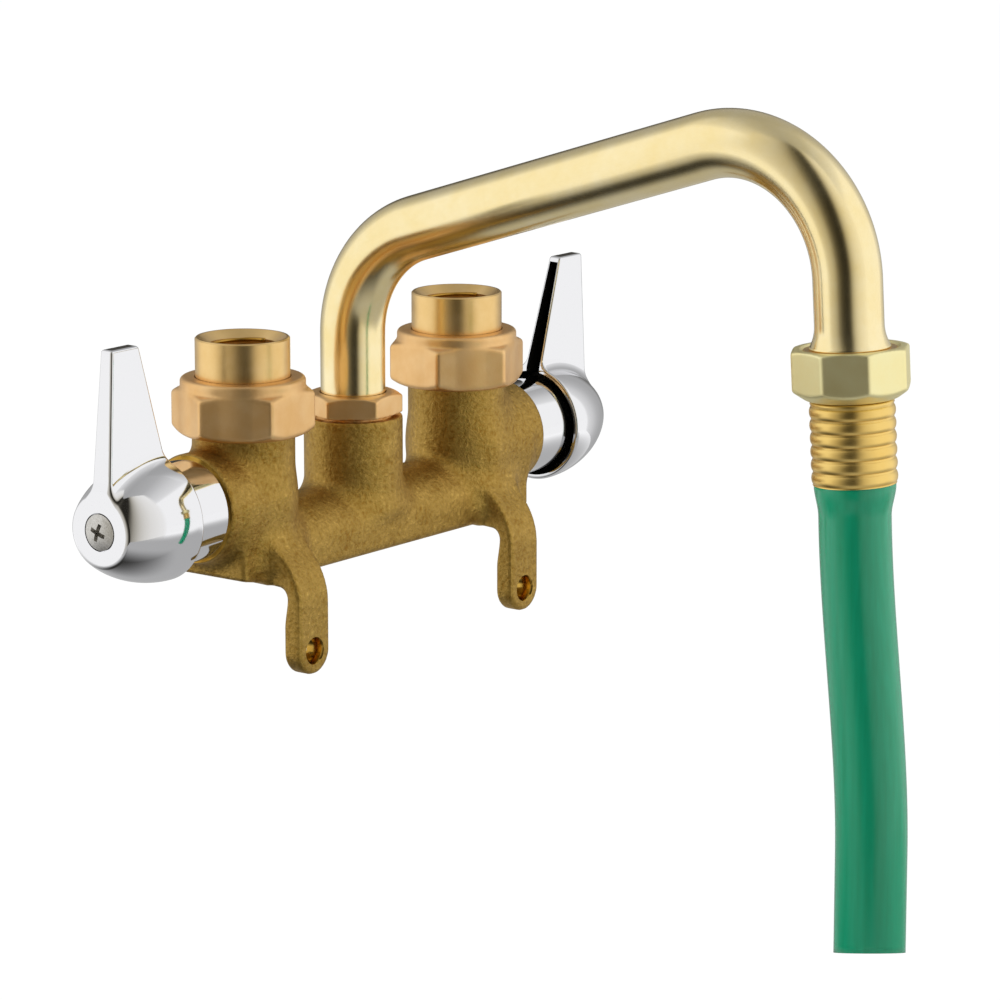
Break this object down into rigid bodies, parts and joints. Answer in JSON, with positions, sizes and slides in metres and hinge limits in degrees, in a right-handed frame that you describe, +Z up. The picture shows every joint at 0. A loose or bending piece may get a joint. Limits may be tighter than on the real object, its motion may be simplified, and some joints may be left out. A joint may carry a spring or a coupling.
{
  "type": "utility sink faucet",
  "caption": "Wall-bracketed utility sink faucet in rough brass with lever-handled compression valves, union inlets, a swivel gooseneck spout and a hose coupled to its tip.",
  "frame": {"origin": "midway between the two mounting holes, on the back faces of the legs", "axes": "+X along the casting to the cold side, +Y to the wall behind the legs, +Z up"},
  "size_m": [0.2298, 0.2181, 0.2393],
  "materials": {
    "cast_brass": "sand-cast, dull and grainy",
    "machined_brass": "turned, satin",
    "forged_brass": "forged and blasted, matte",
    "polished_brass": "polished",
    "crimped_brass": "drawn, soft sheen",
    "chrome_plate": "bright chromium plate",
    "screw_steel": "dull zinc plate",
    "rubber": "moulded",
    "fibre": "vulcanised fibre",
    "graphite_packing": "braided, graphited",
    "white_nylon": "moulded",
    "hose_vinyl": "satin flexible vinyl"
  },
  "bodies": {
    "faucet": {"valve_body": "cast_brass", "seat_hot": "machined_brass", "seat_cold": "machined_brass", "bonnet_hot": "machined_brass", "bonnet_cold": "machined_brass", "gasket_hot": "fibre", "gasket_cold": "fibre", "packing_hot": "graphite_packing", "packing_cold": "graphite_packing", "packing_nut_hot": "machined_brass", "packing_nut_cold": "machined_brass", "sleeve_hot": "chrome_plate", "sleeve_cold": "chrome_plate", "union_washer_hot": "rubber", "union_washer_cold": "rubber", "union_tail_hot": "machined_brass", "union_tail_cold": "machined_brass", "union_nut_hot": "forged_brass", "union_nut_cold": "forged_brass", "spout_washer": "white_nylon", "spout_nut": "machined_brass"},
    "spout": {"spout_tube": "polished_brass", "spout_collar": "machined_brass", "spout_o_ring": "rubber", "hose_end": "machined_brass", "hose_washer": "rubber", "hose_nut": "polished_brass", "hose_tail": "machined_brass", "hose_ferrule": "crimped_brass", "hose": "hose_vinyl"},
    "washer_hot": {"seat_washer_hot": "rubber", "washer_holder_hot": "machined_brass", "washer_screw_hot": "machined_brass"},
    "lever_hot": {"stem_hot": "machined_brass", "stem_o_ring_hot": "rubber", "handle_hot": "chrome_plate", "handle_screw_hot": "screw_steel"},
    "washer_cold": {"seat_washer_cold": "rubber", "washer_holder_cold": "machined_brass", "washer_screw_cold": "machined_brass"},
    "lever_cold": {"stem_cold": "machined_brass", "stem_o_ring_cold": "rubber", "handle_cold": "chrome_plate", "handle_screw_cold": "screw_steel"}
  },
  "joints": [
    {"name": "spout_swivel", "type": "hinge", "parent": "faucet", "child": "spout", "pos_m": [0, 0.0204, 0.0428], "axis": [0, 0, 1], "range_deg": [-60, 60]},
    {"name": "hot_lift", "type": "slide", "parent": "faucet", "child": "washer_hot", "axis": [-1, 0, 0], "range_m": [0, 0.002]},
    {"name": "hot_turn", "type": "hinge", "parent": "washer_hot", "child": "lever_hot", "pos_m": [-0.1, 0.0204, 0.0428], "axis": [1, 0, 0], "range_deg": [0, 90]},
    {"name": "cold_lift", "type": "slide", "parent": "faucet", "child": "washer_cold", "axis": [1, 0, 0], "range_m": [0, 0.002]},
    {"name": "cold_turn", "type": "hinge", "parent": "washer_cold", "child": "lever_cold", "pos_m": [0.1, 0.0204, 0.0428], "axis": [1, 0, 0], "range_deg": [0, 90]}
  ],
  "couplings": [
    {"joint": "hot_lift", "follows": "hot_turn", "m_per_rad": 0.0012732},
    {"joint": "cold_lift", "follows": "cold_turn", "m_per_rad": 0.0012732}
  ]
}
